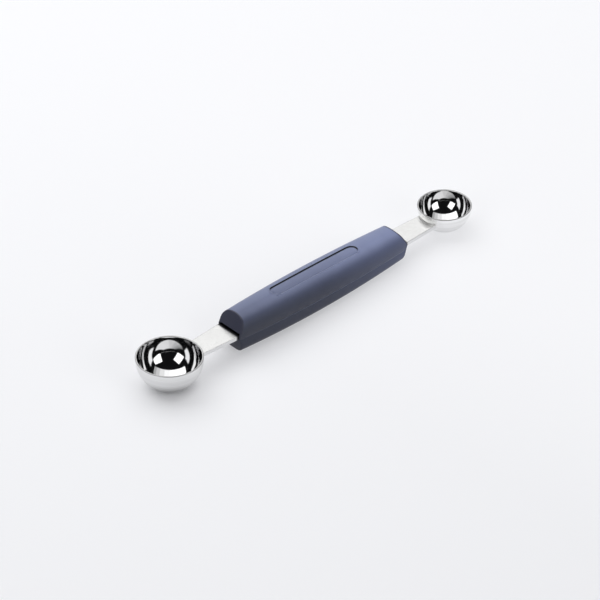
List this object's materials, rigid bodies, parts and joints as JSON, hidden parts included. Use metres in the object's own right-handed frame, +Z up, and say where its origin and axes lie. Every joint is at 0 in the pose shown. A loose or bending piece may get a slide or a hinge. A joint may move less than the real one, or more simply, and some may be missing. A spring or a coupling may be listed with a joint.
{
  "type": "melon baller",
  "caption": "Double-ended melon baller: a large and a small half-round steel bowl on one flat strap, held by a crowned two-shell moulded grip",
  "frame": {"origin": "on the table, under the middle of the tool's length and width, as it lies on its two bowls", "axes": "+X along the tool towards the small bowl, +Z up out of the bowls; lying on both bowls, the strap runs 1.1 degrees downhill towards the small bowl"},
  "size_m": [0.195, 0.03, 0.0193],
  "materials": {
    "polished_steel": "mirror-polished stainless steel sheet",
    "satin_steel": "satin stainless steel bar, brushed along its length",
    "grip_plastic": "slate blue-grey moulded plastic, satin"
  },
  "bodies": {
    "root": {"large_bowl": "polished_steel", "small_bowl": "polished_steel", "strap": "satin_steel", "upper_grip": "grip_plastic", "lower_grip": "grip_plastic"}
  },
  "joints": []
}
